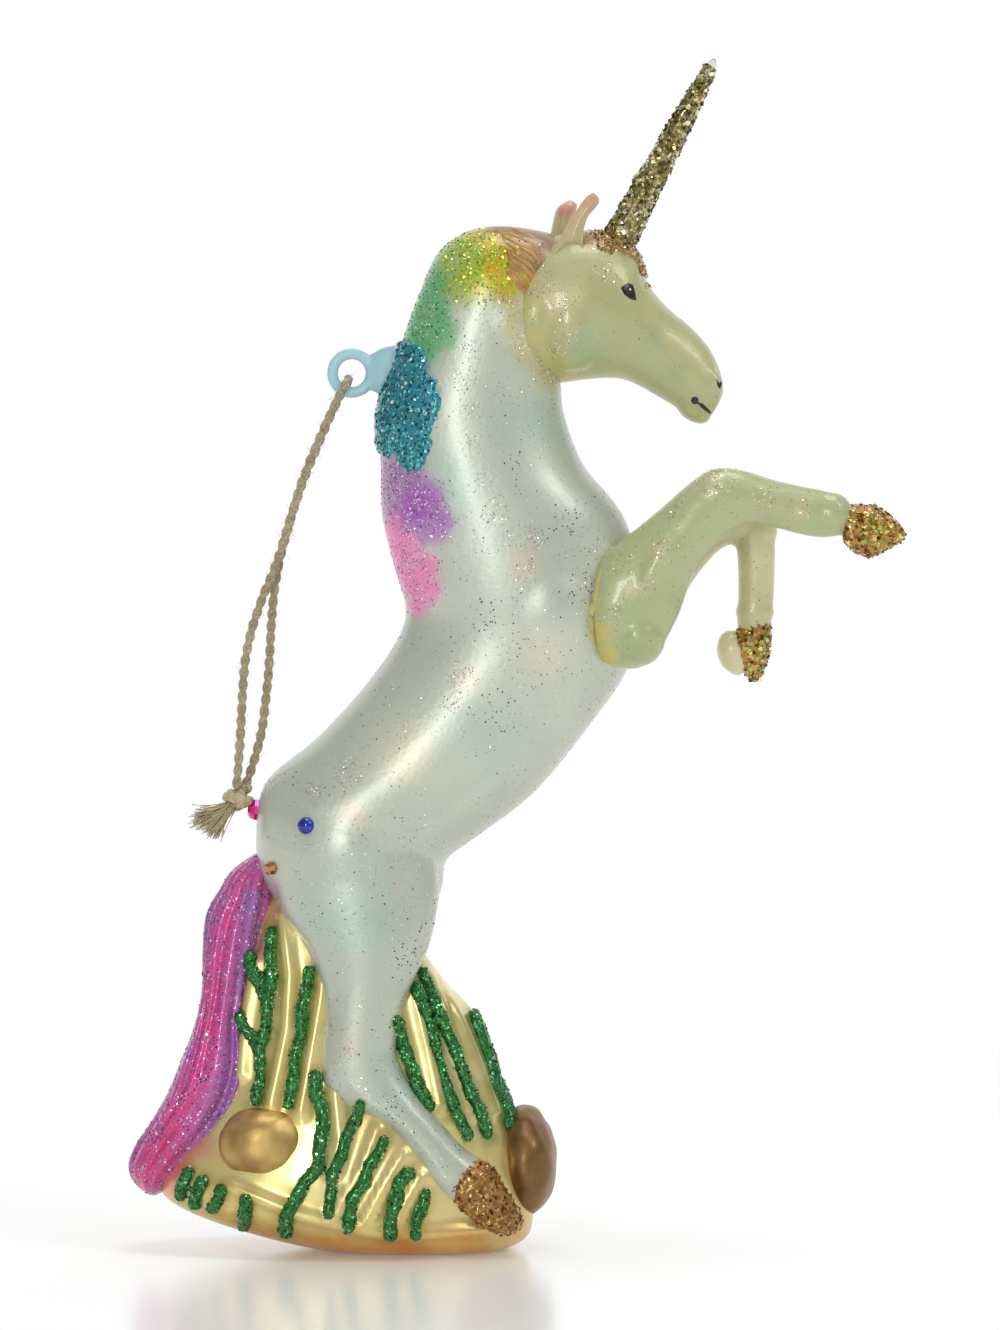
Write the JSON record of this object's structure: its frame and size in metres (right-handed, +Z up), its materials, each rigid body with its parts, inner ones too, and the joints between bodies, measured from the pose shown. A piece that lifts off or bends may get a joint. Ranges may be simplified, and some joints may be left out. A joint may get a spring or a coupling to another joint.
{
  "type": "unicorn figurine",
  "caption": "Mouth-blown glass hanging ornament: a unicorn rearing on a rocky, grassy base, with a glass ring behind the neck and a knotted jute loop.",
  "frame": {"origin": "centre of the flat patch under the base that the figurine stands on", "axes": "+X the way the unicorn faces, +Y the unicorn's left, the side turned away in the picture, +Z up to the horn's tip"},
  "size_m": [0.1102, 0.0346, 0.1702],
  "materials": {
    "body_glass": "pearly lacquered glass, silvered inside",
    "base_glass": "shiny pale gold metallic lacquer over glass",
    "tail_glass": "pink and violet lacquer with blue glitter",
    "stone_paint": "brown satin metallic lacquer over glass",
    "seal_wax": "dark sealing compound",
    "hoof_glitter": "coppery gold glitter in clear glue",
    "pale_green_glass": "matte translucent pale green glass",
    "ear_glass": "thin pinkish glass",
    "clear_glass": "clear glass",
    "horn_glitter": "coarse olive gold glitter in clear glue",
    "gold_glitter": "gold glitter in clear glue",
    "blue_glass": "translucent sky blue glass",
    "teal_glitter": "coarse teal glitter in clear glue",
    "green_glitter": "dark green glitter in clear glue",
    "jute": "two-ply twisted jute",
    "blue_gem": "foil-backed dome stone",
    "amber_gem": "foil-backed faceted stone",
    "pink_gem": "foil-backed faceted stone"
  },
  "bodies": {
    "figure": {"body_shell": "body_glass", "base_shell": "base_glass", "tail_shell": "tail_glass", "rear_stone_near": "stone_paint", "rear_stone_far": "stone_paint", "front_stone": "stone_paint", "blow_hole_seal": "seal_wax", "hind_hoof_near": "hoof_glitter", "hind_hoof_far": "hoof_glitter", "head": "pale_green_glass", "ear_near": "ear_glass", "ear_far": "ear_glass", "horn": "clear_glass", "horn_glitter_coat": "horn_glitter", "foreleg_near": "pale_green_glass", "foreleg_far": "pale_green_glass", "fore_hoof_near": "gold_glitter", "fore_hoof_far": "gold_glitter", "hanging_ring": "blue_glass", "mane_glitter_crust": "teal_glitter", "grass_beads_near": "green_glitter", "grass_beads_far": "green_glitter", "gem_blue_near": "blue_gem", "gem_blue_far": "blue_gem", "gem_amber_near": "amber_gem", "gem_amber_far": "amber_gem", "gem_pink": "pink_gem"},
    "hanging_loop": {"hanging_cord": "jute", "cord_knot": "jute"}
  },
  "joints": [
    {"name": "loop_swing", "type": "hinge", "parent": "figure", "child": "hanging_loop", "pos_m": [-0.01044, 0, 0.12527], "axis": [0, 1, 0], "range_deg": [0, 165]}
  ]
}
